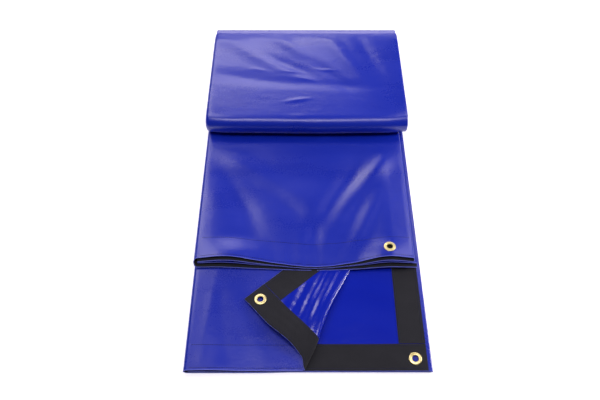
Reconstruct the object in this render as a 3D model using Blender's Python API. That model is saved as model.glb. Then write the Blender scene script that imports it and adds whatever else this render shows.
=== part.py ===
"""A welding curtain: a webbing-hemmed sheet of coated fabric, folded up for storage.

The sheet is folded in four across its width, which gives a strip of four leaves.
The strip is folded in half along its length, and the folded end is turned forward
again on top as a packet.  The loose end under the packet is the tongue, and the
corner of the top leaf in front is turned back.  +X is right, +Y is the rear, +Z up.
"""

import math

import bmesh
import bpy
from mathutils import Matrix, Vector

# ---- Driving sizes, in metres -------------------------------------------------------
BUNDLE_WIDTH = 0.457          # a 1.83 m wide sheet folded in four
BUNDLE_LENGTH = 0.866         # front hem of the lower tier to the back of the rear fold
BUNDLE_HEIGHT = 0.080         # floor to the top of the packet
TONGUE_SETBACK = 0.217        # front hem of the lower tier to the tongue's front hem
PACKET_SETBACK = 0.528        # front hem of the lower tier to the packet's front fold

LEAF = 0.0008                 # one leaf of coated fabric
WEBBING_WIDTH = 0.050
WEBBING = 0.0009
CLEARANCE = 0.0003            # between pieces that touch
JOINT_GAP = 0.0008            # between leaves that meet where the cloth bends
LAYER_AIR = 0.0002            # spare height between the grommets of two leaves

TONGUE_INSET = 0.014          # the tongue's folded edge stands in from the bundle's edge
FREE_EDGE_INSET = 0.0085      # the free right edges stand in from the bundle's edge
TONGUE_BEND_AHEAD = 0.018     # the tongue bends this far in front of the packet

CREASE_ANGLE = math.radians(65.3)   # crease of the turned corner, from +X
CREASE_START_X = -0.006       # where the crease meets the front hem
CORNER_REACH = 0.181          # front hem left on the turned corner
TIP_BEND_BACK = 0.150         # how far back the tip's bend line reaches from the front
TIP_BEND_LEFT = 0.026         # how far left of the crease foot the bend line ends

GROMMET_RADIUS = 0.012
GROMMET_HOLE = 0.006
GROMMET_BARREL = 0.0005       # wall of the eyelet's barrel
GROMMET_PLATE = 0.0006        # thickness of flange and washer
GROMMET_LIP = 0.0085          # radius of the rolled lip over the washer
GROMMET_INSET = 0.022         # grommet centre to the hem's edges
TONGUE_GROMMET_FROM_FOLD = 0.048
GROMMET_SIDES = 28
FOLD_STEPS = 8
PACKET_LAYERS = 4

# ---- Heights and places worked out from them ----------------------------------------
HALF = BUNDLE_WIDTH / 2
REAR_RADIUS = BUNDLE_HEIGHT / 2
FRONT_Y = -BUNDLE_LENGTH / 2
REAR_Y = BUNDLE_LENGTH / 2 - REAR_RADIUS
TONGUE_Y = FRONT_Y + TONGUE_SETBACK
PACKET_Y = FRONT_Y + PACKET_SETBACK
BEND_Y = PACKET_Y - TONGUE_BEND_AHEAD

# Between two leaves whose hemmed sides face each other, and between two plain sides.
REVERSE_GAP = 2 * WEBBING + 2 * GROMMET_PLATE + 4 * CLEARANCE + LAYER_AIR
OUTER_GAP = GROMMET_PLATE + 2 * CLEARANCE + LAYER_AIR / 2

Z_LEAF4 = 0.0
Z_LEAF3 = Z_LEAF4 + LEAF + REVERSE_GAP
Z_LEAF2 = Z_LEAF3 + LEAF + OUTER_GAP
Z_LEAF1 = Z_LEAF2 + LEAF + REVERSE_GAP
Z_FLAP = Z_LEAF1 + LEAF + OUTER_GAP
Z_TONGUE4 = Z_FLAP + LEAF + WEBBING + 2 * CLEARANCE
Z_TONGUE3 = Z_TONGUE4 + LEAF + REVERSE_GAP
Z_TONGUE2 = Z_TONGUE3 + LEAF + OUTER_GAP
Z_TONGUE1 = Z_TONGUE2 + LEAF + REVERSE_GAP
Z_PACKET = Z_TONGUE1 + LEAF + CLEARANCE
PACKET_RADIUS = (BUNDLE_HEIGHT - Z_PACKET) / 2
PACKET_LAYER = (PACKET_RADIUS - PACKET_LAYERS * CLEARANCE) / PACKET_LAYERS

CREASE_FOOT = Vector((CREASE_START_X, FRONT_Y))
CREASE_DIR = Vector((math.cos(CREASE_ANGLE), math.sin(CREASE_ANGLE)))
HEM_DIR = Vector((math.cos(2 * CREASE_ANGLE), math.sin(2 * CREASE_ANGLE)))
SIDE_DIR = Vector((math.sin(2 * CREASE_ANGLE), -math.cos(2 * CREASE_ANGLE)))
TIP = CREASE_FOOT + CORNER_REACH * HEM_DIR


# ---- Scene, materials and small helpers ---------------------------------------------
def clear_scene():
    for old in list(bpy.data.objects):
        bpy.data.objects.remove(old, do_unlink=True)


def material(name, colour, roughness, metallic=0.0):
    mat = bpy.data.materials.new(name)
    mat.use_nodes = True
    shader = mat.node_tree.nodes["Principled BSDF"]
    shader.inputs["Base Color"].default_value = (*colour, 1.0)
    shader.inputs["Roughness"].default_value = roughness
    shader.inputs["Metallic"].default_value = metallic
    return mat


def place(name, mesh_data, mat, pivot=None):
    """Link a mesh as a named object whose origin is its joint's pivot, if it has one."""
    mesh = bpy.data.meshes.new(name)
    mesh_data.to_mesh(mesh)
    mesh_data.free()
    if pivot is not None:
        mesh.transform(Matrix.Translation(-Vector(pivot)))
    own = mat.copy()
    own.name = name + "_finish"
    mesh.materials.append(own)
    obj = bpy.data.objects.new(name, mesh)
    if pivot is not None:
        obj.location = pivot
    bpy.context.scene.collection.objects.link(obj)
    return obj


def prism(outline, low, high):
    """A solid with a flat outline in XY, from one height to another."""
    bm = bmesh.new()
    base = bm.faces.new([bm.verts.new((p[0], p[1], low)) for p in outline])
    grown = bmesh.ops.extrude_face_region(bm, geom=[base])
    top = [v for v in grown["geom"] if isinstance(v, bmesh.types.BMVert)]
    bmesh.ops.translate(bm, verts=top, vec=(0.0, 0.0, high - low))
    bmesh.ops.recalc_face_normals(bm, faces=bm.faces)
    return bm


def extruded(section, axis, start, end):
    """A solid with a flat outline across an axis: (y, z) along X or (x, z) along Y."""
    bm = bmesh.new()
    if axis == "X":
        ring = [bm.verts.new((start, a, b)) for a, b in section]
        push = (end - start, 0.0, 0.0)
    else:
        ring = [bm.verts.new((a, start, b)) for a, b in section]
        push = (0.0, end - start, 0.0)
    face = bm.faces.new(ring)
    grown = bmesh.ops.extrude_face_region(bm, geom=[face])
    far = [v for v in grown["geom"] if isinstance(v, bmesh.types.BMVert)]
    bmesh.ops.translate(bm, verts=far, vec=push)
    bmesh.ops.recalc_face_normals(bm, faces=bm.faces)
    return bm


def arc(centre, radius, start, end, steps=FOLD_STEPS):
    """Points of a circular arc, with its angles in degrees."""
    points = []
    for i in range(steps + 1):
        angle = math.radians(start + (end - start) * i / steps)
        points.append((centre[0] + radius * math.cos(angle), centre[1] + radius * math.sin(angle)))
    return points


def turned(profile, centre):
    """A ring turned about a vertical line through a point: the profile is (r, z)."""
    bm = bmesh.new()
    rings = []
    for k in range(GROMMET_SIDES):
        angle = 2 * math.pi * k / GROMMET_SIDES
        rings.append([
            bm.verts.new((centre[0] + r * math.cos(angle), centre[1] + r * math.sin(angle), z))
            for r, z in profile
        ])
    count = len(profile)
    for k in range(GROMMET_SIDES):
        near, far = rings[k], rings[(k + 1) % GROMMET_SIDES]
        for i in range(count):
            j = (i + 1) % count
            bm.faces.new((near[i], near[j], far[j], far[i]))
    bmesh.ops.recalc_face_normals(bm, faces=bm.faces)
    return bm


def shade_round(obj):
    obj.data.shade_smooth()
    obj.data.set_sharp_from_angle(angle=math.radians(40))


def punch(obj, centre, low, high, name):
    """Cut a grommet's hole through a leaf or a webbing strip."""
    radius = GROMMET_HOLE + GROMMET_BARREL + CLEARANCE
    bm = bmesh.new()
    bmesh.ops.create_cone(
        bm, cap_ends=True, segments=GROMMET_SIDES,
        radius1=radius, radius2=radius, depth=high - low,
    )
    bmesh.ops.translate(bm, verts=bm.verts, vec=(centre[0], centre[1], (low + high) / 2))
    cutter = place(name, bm, FABRIC)
    cutter.hide_render = True
    cutter.display_type = "WIRE"
    cut = obj.modifiers.new("grommet_hole", "BOOLEAN")
    cut.operation = "DIFFERENCE"
    cut.solver = "EXACT"
    cut.object = cutter


# ---- Outline tools ------------------------------------------------------------------
def clip(outline, point, normal):
    """Keep the part of a convex outline on the side of a line that its normal points to."""
    point, normal = Vector(point), Vector(normal)
    kept = []
    for i, a in enumerate(outline):
        a, b = Vector(a), Vector(outline[(i + 1) % len(outline)])
        side_a, side_b = (a - point).dot(normal), (b - point).dot(normal)
        if side_a >= 0:
            kept.append(a)
        if side_a * side_b < 0:
            kept.append(a + (b - a) * side_a / (side_a - side_b))
    return kept


def box_outline(x0, x1, y0, y1):
    return [(x0, y0), (x1, y0), (x1, y1), (x0, y1)]


def leaf(name, x0, x1, y0, y1, z, mat, pivot=None):
    return place(name, prism(box_outline(x0, x1, y0, y1), z, z + LEAF), mat, pivot)


def side_fold(name, side, x, z_low, z_high, y0, y1, pivot=None):
    """The round of cloth that joins two leaves, whose lower faces are z_low and z_high."""
    middle = (z_low + z_high + LEAF) / 2
    outer = (z_high - z_low + LEAF) / 2
    centre = (x, middle)
    start = -90 if side > 0 else 270
    end = 90
    section = arc(centre, outer, start, end) + arc(centre, outer - LEAF, end, start)
    fold = place(name, extruded(section, "Y", y0, y1), FABRIC, pivot)
    shade_round(fold)
    return fold


def grommet(prefix, centre, leaf_low, plain_up, pivot=None):
    """An eyelet through leaf and webbing, and the washer that its lip holds."""
    plate, gap = GROMMET_PLATE, CLEARANCE
    edge = plate / 2
    stack = LEAF + gap + WEBBING + gap
    inner, barrel = GROMMET_HOLE, GROMMET_HOLE + GROMMET_BARREL
    # Heights are measured from the plain face of the leaf, towards its hemmed side.
    flange = [
        (inner, -gap - edge), (inner + plate, -gap - plate), (GROMMET_RADIUS - plate, -gap - plate),
        (GROMMET_RADIUS, -gap - edge), (GROMMET_RADIUS, -gap), (barrel, -gap),
    ]
    lip_low = stack + plate + gap
    lip_high = lip_low + plate
    lip = [
        (barrel, lip_low), (GROMMET_LIP, lip_low), (GROMMET_LIP - edge, lip_high),
        (barrel, lip_high), (inner, lip_high - edge),
    ]
    washer = [
        (barrel + gap, stack), (GROMMET_RADIUS, stack),
        (GROMMET_RADIUS, stack + edge), (GROMMET_RADIUS - plate, stack + plate),
        (barrel + gap, stack + plate),
    ]
    if plain_up:
        face, sign = leaf_low + LEAF, -1.0
    else:
        face, sign = leaf_low, 1.0

    def level(profile):
        return [(r, face + sign * h) for r, h in profile]

    eyelet = place(prefix + "_eyelet", turned(level(flange + lip), centre), BRASS, pivot)
    ring = place(prefix + "_washer", turned(level(washer), centre), BRASS, pivot)
    shade_round(eyelet)
    shade_round(ring)
    low, high = sorted((face - sign * (gap + plate), face + sign * lip_high))
    return low - plate, high + plate


# ---- Lower tier ---------------------------------------------------------------------
def lower_tier():
    """The four leaves of the strip's long end, which lie on the floor."""
    rear = REAR_Y - JOINT_GAP
    right = HALF - FREE_EDGE_INSET
    fold_outer = (Z_LEAF1 - Z_LEAF4 + LEAF) / 2
    fold_inner = (Z_LEAF2 - Z_LEAF3 + LEAF) / 2
    fold_right = (Z_LEAF3 - Z_LEAF4 + LEAF) / 2
    left = -HALF + fold_outer
    inner_left = left + JOINT_GAP
    right_end = HALF - fold_right

    leaf("lower_leaf_4_bottom", left + JOINT_GAP, right_end - CLEARANCE, FRONT_Y, rear, Z_LEAF4, FABRIC)
    leaf("lower_leaf_3", inner_left + fold_inner, right_end - CLEARANCE, FRONT_Y, rear, Z_LEAF3, FABRIC)
    second = leaf("lower_leaf_2", inner_left + fold_inner, right, FRONT_Y, rear, Z_LEAF2, FABRIC)
    side_fold("lower_fold_left_outer", -1, left, Z_LEAF4, Z_LEAF1, FRONT_Y, rear)
    side_fold("lower_fold_left_inner", -1, inner_left + fold_inner - CLEARANCE, Z_LEAF3, Z_LEAF2, FRONT_Y, rear)
    side_fold("lower_fold_right", 1, right_end, Z_LEAF4, Z_LEAF3, FRONT_Y, rear)

    whole = box_outline(left + CLEARANCE, right, FRONT_Y, rear)
    crease_out = Vector((-CREASE_DIR.y, CREASE_DIR.x))
    crease_point = CREASE_FOOT + crease_out * CLEARANCE
    top = clip(whole, crease_point, crease_out)
    place("lower_leaf_1_top", prism(top, Z_LEAF1, Z_LEAF1 + LEAF), FABRIC)

    hem_far = FRONT_Y + WEBBING_WIDTH
    z_hem4 = Z_LEAF4 + LEAF + CLEARANCE
    z_hem3 = Z_LEAF3 - CLEARANCE - WEBBING
    z_hem2 = Z_LEAF2 + LEAF + CLEARANCE
    z_hem1 = Z_LEAF1 - CLEARANCE - WEBBING
    wide = (left + JOINT_GAP, right_end - CLEARANCE, FRONT_Y, hem_far)
    place("lower_hem_4", prism(box_outline(*wide), z_hem4, z_hem4 + WEBBING), WEB)
    place("lower_hem_3", prism(box_outline(inner_left + fold_inner, *wide[1:]), z_hem3, z_hem3 + WEBBING), WEB)
    front = box_outline(inner_left + fold_inner, right, FRONT_Y, hem_far)
    hem_2 = place("lower_hem_2_front", prism(front, z_hem2, z_hem2 + WEBBING), WEB)
    side = box_outline(right - WEBBING_WIDTH, right, hem_far + CLEARANCE, rear)
    place("lower_hem_2_side", prism(side, z_hem2, z_hem2 + WEBBING), WEB)
    hem_1 = clip(box_outline(left + JOINT_GAP, right, FRONT_Y, hem_far), crease_point, crease_out)
    place("lower_hem_1", prism(hem_1, z_hem1, z_hem1 + WEBBING), WEB)

    corner = (right - GROMMET_INSET, FRONT_Y + GROMMET_INSET)
    low, high = grommet("corner_grommet", corner, Z_LEAF2, False)
    punch(second, corner, low, high, "cut_corner_leaf")
    punch(hem_2, corner, low, high, "cut_corner_hem")


# ---- Turned-back corner -------------------------------------------------------------
def turned_corner():
    """The corner of the top leaf, folded over to the left along a diagonal crease."""
    into_flap = Vector((-CREASE_DIR.y, CREASE_DIR.x))
    top_of_crease = CREASE_FOOT + CREASE_DIR * (CORNER_REACH / math.cos(CREASE_ANGLE))
    whole = [CREASE_FOOT, top_of_crease, TIP]
    round_room = (Z_FLAP - Z_LEAF1 + LEAF) / 2
    whole = clip(whole, CREASE_FOOT + into_flap * CLEARANCE, into_flap)

    bend_far = Vector((CREASE_FOOT.x - TIP_BEND_LEFT, FRONT_Y + TIP_BEND_BACK))
    bend_near = CREASE_FOOT
    along = (bend_far - bend_near).normalized()
    to_tip = Vector((-along.y, along.x))
    gap = JOINT_GAP / 2
    z_web = Z_FLAP + LEAF + CLEARANCE
    pivot = (bend_near.x, bend_near.y, z_web + WEBBING)

    hem_in = Vector((SIDE_DIR.x, SIDE_DIR.y))
    side_in = -HEM_DIR
    front_hem = clip(whole, TIP + hem_in * WEBBING_WIDTH, -hem_in)
    side_hem = clip(whole, TIP + side_in * WEBBING_WIDTH, -side_in)
    side_hem = clip(side_hem, TIP + hem_in * (WEBBING_WIDTH + CLEARANCE), hem_in)

    rooted = clip(whole, bend_near - to_tip * gap, -to_tip)
    place("corner_panel", prism(rooted, Z_FLAP, Z_FLAP + LEAF), FABRIC)
    rooted_front = clip(front_hem, bend_near - to_tip * gap, -to_tip)
    place("corner_hem_front", prism(rooted_front, z_web, z_web + WEBBING), WEB)
    rooted_side = clip(side_hem, bend_near - to_tip * gap, -to_tip)
    place("corner_hem_side", prism(rooted_side, z_web, z_web + WEBBING), WEB)

    loose = clip(whole, bend_near + to_tip * gap, to_tip)
    tip = place("tip_panel", prism(loose, Z_FLAP, Z_FLAP + LEAF), FABRIC, pivot)
    loose_front = clip(front_hem, bend_near + to_tip * gap, to_tip)
    tip_hem = place("tip_hem_front", prism(loose_front, z_web, z_web + WEBBING), WEB, pivot)
    loose_side = clip(side_hem, bend_near + to_tip * gap, to_tip)
    place("tip_hem_side", prism(loose_side, z_web, z_web + WEBBING), WEB, pivot)

    centre = TIP + GROMMET_INSET * (SIDE_DIR - HEM_DIR)
    low, high = grommet("tip_grommet", centre, Z_FLAP, False, pivot)
    punch(tip, centre, low, high, "cut_tip_leaf")
    punch(tip_hem, centre, low, high, "cut_tip_hem")

    crease_length = (top_of_crease - CREASE_FOOT).length
    section = arc((0.0, 0.0), round_room, 90, -90) + arc((0.0, 0.0), round_room - LEAF, -90, 90)
    bm = extruded(section, "Y", round_room, crease_length)
    turn = Matrix.Rotation(CREASE_ANGLE - math.pi / 2, 4, "Z")
    shift = Matrix.Translation((CREASE_FOOT.x, CREASE_FOOT.y, Z_LEAF1 + round_room))
    bmesh.ops.transform(bm, matrix=shift @ turn, verts=bm.verts)
    shade_round(place("corner_fold", bm, FABRIC))


# ---- Tongue -------------------------------------------------------------------------
def tongue_part(prefix, y0, y1, pivot=None):
    """One stretch of the strip's short end: four leaves and the folds at their edges."""
    fold_outer = (Z_TONGUE1 - Z_TONGUE4 + LEAF) / 2
    fold_inner = (Z_TONGUE2 - Z_TONGUE3 + LEAF) / 2
    fold_right = (Z_TONGUE1 - Z_TONGUE2 + LEAF) / 2
    left = -HALF + fold_outer
    inner_left = left + JOINT_GAP + fold_inner
    free = HALF - FREE_EDGE_INSET
    folded = HALF - TONGUE_INSET - fold_right
    top = leaf(prefix + "_leaf_1_top", left + CLEARANCE, folded - CLEARANCE, y0, y1, Z_TONGUE1, FABRIC, pivot)
    leaf(prefix + "_leaf_2", inner_left, folded - CLEARANCE, y0, y1, Z_TONGUE2, FABRIC, pivot)
    leaf(prefix + "_leaf_3", inner_left, free, y0, y1, Z_TONGUE3, FABRIC, pivot)
    leaf(prefix + "_leaf_4", left + CLEARANCE, free, y0, y1, Z_TONGUE4, FABRIC, pivot)
    side_fold(prefix + "_fold_left_outer", -1, left, Z_TONGUE4, Z_TONGUE1, y0, y1, pivot)
    side_fold(prefix + "_fold_left_inner", -1, inner_left - CLEARANCE, Z_TONGUE3, Z_TONGUE2, y0, y1, pivot)
    side_fold(prefix + "_fold_right", 1, folded, Z_TONGUE2, Z_TONGUE1, y0, y1, pivot)
    return top, left, inner_left, folded, free


def tongue():
    """The short end: a root that the packet holds down, and the part that lifts."""
    pivot = (0.0, BEND_Y, Z_TONGUE1 + LEAF)
    tongue_part("root", BEND_Y + JOINT_GAP / 2, REAR_Y - JOINT_GAP)
    top, left, inner_left, folded, free = tongue_part("tongue", TONGUE_Y, BEND_Y - JOINT_GAP / 2, pivot)

    hem_far = TONGUE_Y + WEBBING_WIDTH
    z_hem1 = Z_TONGUE1 - CLEARANCE - WEBBING
    z_hem2 = Z_TONGUE2 + LEAF + CLEARANCE
    z_hem3 = Z_TONGUE3 - CLEARANCE - WEBBING
    z_hem4 = Z_TONGUE4 + LEAF + CLEARANCE
    hems = {
        "tongue_hem_1": (left + JOINT_GAP, folded - CLEARANCE, z_hem1),
        "tongue_hem_2": (inner_left, folded - CLEARANCE, z_hem2),
        "tongue_hem_3": (inner_left, free, z_hem3),
        "tongue_hem_4": (left + JOINT_GAP, free, z_hem4),
    }
    made = {}
    for name, (x0, x1, z) in hems.items():
        outline = box_outline(x0, x1, TONGUE_Y, hem_far)
        made[name] = place(name, prism(outline, z, z + WEBBING), WEB, pivot)

    centre = (HALF - TONGUE_INSET - TONGUE_GROMMET_FROM_FOLD, TONGUE_Y + GROMMET_INSET)
    low, high = grommet("tongue_grommet", centre, Z_TONGUE1, True, pivot)
    punch(top, centre, low, high, "cut_tongue_leaf")
    punch(made["tongue_hem_1"], centre, low, high, "cut_tongue_hem")


# ---- Packet and rear fold -----------------------------------------------------------
def packet():
    """The folded end of the strip: four lofted layers, one inside the other."""
    pivot = (0.0, REAR_Y, REAR_RADIUS)
    rear = REAR_Y + CLEARANCE - JOINT_GAP
    middle = Z_PACKET + PACKET_RADIUS
    for k in range(PACKET_LAYERS):
        outer = PACKET_RADIUS - k * (PACKET_LAYER + CLEARANCE)
        inner = outer - PACKET_LAYER
        centre = (PACKET_Y + PACKET_RADIUS, middle)
        section = [(rear, middle - outer)]
        section += arc(centre, outer, 270, 90)
        section += [(rear, middle + outer), (rear, middle + inner)]
        section += arc(centre, inner, 90, 270)
        section += [(rear, middle - inner)]
        name = "packet_layer_%d" % (k + 1)
        shade_round(place(name, extruded(section, "X", -HALF, HALF), LOFTED, pivot))


def rear_fold():
    """The bend behind, where all eight leaves turn over towards the front."""
    centre = (REAR_Y, REAR_RADIUS)
    skin = LEAF * 2
    outer = arc(centre, REAR_RADIUS, -90, 90)
    inner = arc(centre, REAR_RADIUS - skin, 90, -90)
    shade_round(place("rear_fold_outer", extruded(outer + inner, "X", -HALF, HALF), FABRIC))
    core = arc(centre, REAR_RADIUS - skin - CLEARANCE, -90, 90)
    shade_round(place("rear_fold_inner", extruded(core, "X", -HALF, HALF), LOFTED))


clear_scene()
FABRIC = material("coated_fabric", (0.030, 0.045, 0.46), 0.34)
LOFTED = material("lofted_fabric", (0.045, 0.060, 0.52), 0.36)
WEB = material("black_webbing", (0.030, 0.030, 0.034), 0.80)
BRASS = material("brass", (0.86, 0.74, 0.30), 0.28, 1.0)
lower_tier()
turned_corner()
tongue()
packet()
rear_fold()
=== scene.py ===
# %% [markdown]
# # A folded welding curtain
# A welding curtain is one large sheet of coated fabric. Its four edges are hemmed with black
# webbing, and brass grommets in the hems take the hooks it hangs from. Here it is folded up:
# in four across its width, then in half along its length, then once more into a packet.
# The imported model gives the frame: its bodies, its joints and its sizes. Everything below is
# built around it, so the first step is to load it and keep its parts.

# %% Load the frame
import math

import bmesh
import bpy
import numpy as np
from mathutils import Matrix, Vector


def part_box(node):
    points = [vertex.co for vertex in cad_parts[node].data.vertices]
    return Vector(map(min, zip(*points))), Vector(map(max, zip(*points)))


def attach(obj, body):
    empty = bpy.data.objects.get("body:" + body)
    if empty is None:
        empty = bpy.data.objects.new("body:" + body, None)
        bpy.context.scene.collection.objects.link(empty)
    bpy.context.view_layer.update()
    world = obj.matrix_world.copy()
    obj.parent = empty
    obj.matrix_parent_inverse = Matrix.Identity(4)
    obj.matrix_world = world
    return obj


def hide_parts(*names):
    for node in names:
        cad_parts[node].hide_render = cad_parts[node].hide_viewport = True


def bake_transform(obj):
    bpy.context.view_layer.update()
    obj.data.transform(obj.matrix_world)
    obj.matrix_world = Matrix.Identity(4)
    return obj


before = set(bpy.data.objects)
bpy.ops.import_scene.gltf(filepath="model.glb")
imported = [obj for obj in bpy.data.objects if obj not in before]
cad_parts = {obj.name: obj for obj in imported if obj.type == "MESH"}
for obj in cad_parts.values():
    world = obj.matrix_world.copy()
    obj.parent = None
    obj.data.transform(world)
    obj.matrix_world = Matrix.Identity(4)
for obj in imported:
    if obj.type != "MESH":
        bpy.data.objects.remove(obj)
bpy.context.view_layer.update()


# %% [markdown]
# ## The camera
# The bundle is seen from in front and well above. The lens is short enough that the far end
# looks clearly narrower than the near end. The camera looks at a point on the floor near the
# middle of the bundle, from a distance and a pitch that are easy to change.

# %% Camera
SENSOR = 36.0                     # both in millimetres
LENS = 33.6
PITCH = math.radians(57.2)
DISTANCE = 1.233
AIM = Vector((-0.015, -0.057, 0.0))


def make_camera():
    data = bpy.data.cameras.new("camera")
    data.sensor_width = SENSOR
    data.lens = LENS
    camera = bpy.data.objects.new("camera", data)
    back = Vector((0.0, -math.cos(PITCH), math.sin(PITCH)))
    camera.location = AIM + DISTANCE * back
    camera.rotation_euler = (math.pi / 2 - PITCH, 0.0, 0.0)
    bpy.context.scene.collection.objects.link(camera)
    bpy.context.scene.camera = camera
    return camera


camera = make_camera()
print("camera at", tuple(round(c, 3) for c in camera.location))


# %% [markdown]
# ## Sizes read from the frame
# The CAD leaves carry every size that the cloth needs: where the tongue ends, where the packet
# begins and how high each leaf lies. They are read from the frame, so the cloth can't drift
# away from the solids it stands for.

# %% Sizes
def low(node, axis):
    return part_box(node)[0][axis]


def high(node, axis):
    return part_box(node)[1][axis]


def middle(node):
    return (low(node, 2) + high(node, 2)) / 2


FRONT = low("lower_leaf_2", 1)
REAR = low("rear_fold_outer", 1)
TONGUE_FRONT = low("tongue_leaf_1_top", 1)
PACKET_FRONT = low("packet_layer_1", 1)
HALF_WIDTH = high("packet_layer_1", 0)
FREE_EDGE = high("lower_leaf_2", 0)
TONGUE_FOLD = high("tongue_fold_right", 0)
TOP = high("packet_layer_1", 2)
PACKET_LOW = low("packet_layer_1", 2)
LOWER_Z = [middle("lower_leaf_" + n) for n in ("4_bottom", "3", "2", "1_top")]
TONGUE_Z = [middle("tongue_leaf_" + n) for n in ("4", "3", "2", "1_top")]
FLAP_Z = middle("tip_panel")
WEB_WIDTH = high("tongue_hem_1", 1) - low("tongue_hem_1", 1)
CLOTH = 0.0006                    # thickness of the coated fabric
WEB_THICK = 0.0008
WEB_OFF = (CLOTH + WEB_THICK) / 2 + 0.00005
print("front", round(FRONT, 4), "rear", round(REAR, 4), "leaf heights", [round(z, 4) for z in LOWER_Z + TONGUE_Z])


# %% [markdown]
# ## Writing shader maths as expressions
# A node tree is easier to read as a formula. `Wire` wraps one output socket, and its operators
# add Math nodes, so `1 - mask * 0.5` works. Colours are mixed with a Mix node, because a Math
# node would turn them grey. Every other node comes from one method that takes its type, its
# settings and what its sockets get.

# %% The socket class and the finish builder
class Wire:
    """One output socket, with arithmetic that adds Math nodes."""

    def __init__(self, finish, socket):
        self.finish = finish
        self.socket = socket

    def _math(self, operation, first, second):
        node = self.finish.node("ShaderNodeMath", {"operation": operation}, {0: first, 1: second})
        return node.out(0)

    def __add__(self, other):
        return self._math("ADD", self, other)

    def __radd__(self, other):
        return self._math("ADD", other, self)

    def __sub__(self, other):
        return self._math("SUBTRACT", self, other)

    def __rsub__(self, other):
        return self._math("SUBTRACT", other, self)

    def __mul__(self, other):
        return self._math("MULTIPLY", self, other)

    def __rmul__(self, other):
        return self._math("MULTIPLY", other, self)

    def sine(self):
        return self._math("SINE", self, 0.0)


class Made:
    """A node that was made, whose outputs are read as wires."""

    def __init__(self, finish, node):
        self.finish = finish
        self.node = node

    def out(self, key):
        return Wire(self.finish, self.node.outputs[key])


class Finish:
    """A material, built node by node."""

    def __init__(self, name):
        self.material = bpy.data.materials.new(name)
        self.material.use_nodes = True
        self.tree = self.material.node_tree
        self.shader = self.tree.nodes["Principled BSDF"]

    def set(self, socket, value):
        if isinstance(value, Wire):
            self.tree.links.new(value.socket, socket)
        else:
            socket.default_value = value

    def node(self, kind, settings=None, values=None):
        node = self.tree.nodes.new(kind)
        for key, value in (settings or {}).items():
            setattr(node, key, value)
        for key, value in (values or {}).items():
            self.set(node.inputs[key], value)
        return Made(self, node)

    def place(self):
        return self.node("ShaderNodeTexCoord").out("Object")

    def axes(self):
        split = self.node("ShaderNodeSeparateXYZ", None, {0: self.place()})
        return split.out(0), split.out(1), split.out(2)

    def noise(self, scale, detail=3.0, rough=0.5, vector=None):
        values = {"Vector": vector or self.place(), "Scale": scale, "Detail": detail, "Roughness": rough}
        return self.node("ShaderNodeTexNoise", None, values).out("Fac")

    def stretched(self, x, y, z, turn=0.0):
        settings = {"vector_type": "POINT"}
        values = {"Vector": self.place(), "Rotation": (0.0, 0.0, turn), "Scale": (x, y, z)}
        return self.node("ShaderNodeMapping", settings, values).out(0)

    def mix(self, mask, first, second):
        settings = {"data_type": "RGBA"}
        return self.node("ShaderNodeMix", settings, {0: mask, 6: first, 7: second}).out(2)

    def bump(self, height, distance, strength=1.0):
        values = {"Height": height, "Distance": distance, "Strength": strength}
        self.set(self.shader.inputs["Normal"], self.node("ShaderNodeBump", None, values).out(0))

    def surface(self, **values):
        for key, value in values.items():
            self.set(self.shader.inputs[key.replace("_", " ")], value)
        return self.material


# %% [markdown]
# ## Coated fabric
# The cloth is a woven scrim between two skins of PVC. The plain side has a satin skin, through
# which the scrim shows as a very fine grid. Handling leaves soft streaks that catch the light,
# so the roughness varies in long patches and faint creases are pressed into the surface.

# %% The plain side, the hemmed side and the cut edge
SCRIM_PITCH = 0.0011


def scrim(finish, pitch):
    """The fine grid of the woven core, from 0 to 1."""
    x, y, _ = finish.axes()
    turn = 2 * math.pi / pitch
    return ((x * turn).sine() + (y * turn).sine()) * 0.25 + 0.5


def coated(name, deep, lit, roughness, spread, coat, crease, weave):
    finish = Finish(name)
    streaks = finish.noise(1.0, 2.0, 0.5, finish.stretched(5.0, 14.0, 9.0, math.radians(28)))
    grain = finish.noise(420.0, 2.0)
    folds = finish.noise(1.0, 4.0, 0.55, finish.stretched(16.0, 34.0, 20.0, math.radians(24)))
    fine = finish.noise(90.0, 3.0, 0.6)
    colour = finish.mix(streaks, (*deep, 1.0), (*lit, 1.0))
    height = folds * crease + fine * 0.12 + scrim(finish, SCRIM_PITCH) * weave + grain * 0.03
    finish.bump(height, 0.0022, 0.55)
    finish.surface(
        Base_Color=colour,
        Roughness=(streaks - 0.5) * spread + grain * 0.05 + roughness,
        Coat_Weight=coat,
        Coat_Roughness=0.16,
        Specular_IOR_Level=0.62,
    )
    return finish.material


SATIN = coated("coating_satin", (0.0015, 0.015, 0.37), (0.004, 0.024, 0.46), 0.26, 0.14, 0.08, 0.5, 0.018)
GLOSS = coated("coating_gloss", (0.0005, 0.010, 0.38), (0.001, 0.016, 0.46), 0.15, 0.08, 0.40, 0.8, 0.008)


# The cut edge's finish is far paler than the coating: a painted highlight where the rims and the edge beads catch
# the light. Its speckle varies the tone at random.
def painted_edge_highlight():
    finish = Finish("cloth_cut_edge_painted_highlight")
    speckle = finish.noise(700.0, 2.0)
    colour = finish.mix(speckle, (0.07, 0.10, 0.60, 1.0), (0.18, 0.22, 0.80, 1.0))
    finish.bump(speckle, 0.0004, 0.5)
    return finish.surface(Base_Color=colour, Roughness=0.5 + speckle * 0.1)


EDGE = painted_edge_highlight()
CLOTH_FINISH = [SATIN, GLOSS, EDGE]
print("cloth finishes", [m.name for m in CLOTH_FINISH])


# %% [markdown]
# ## Webbing, thread and brass
# The hem webbing is a dull black tape with a rib across it. The thread is a darker blue than the
# cloth. The grommets are polished brass, a little hazed.

# %% Webbing, thread and brass
RIB_PITCH = 0.0016


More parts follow.
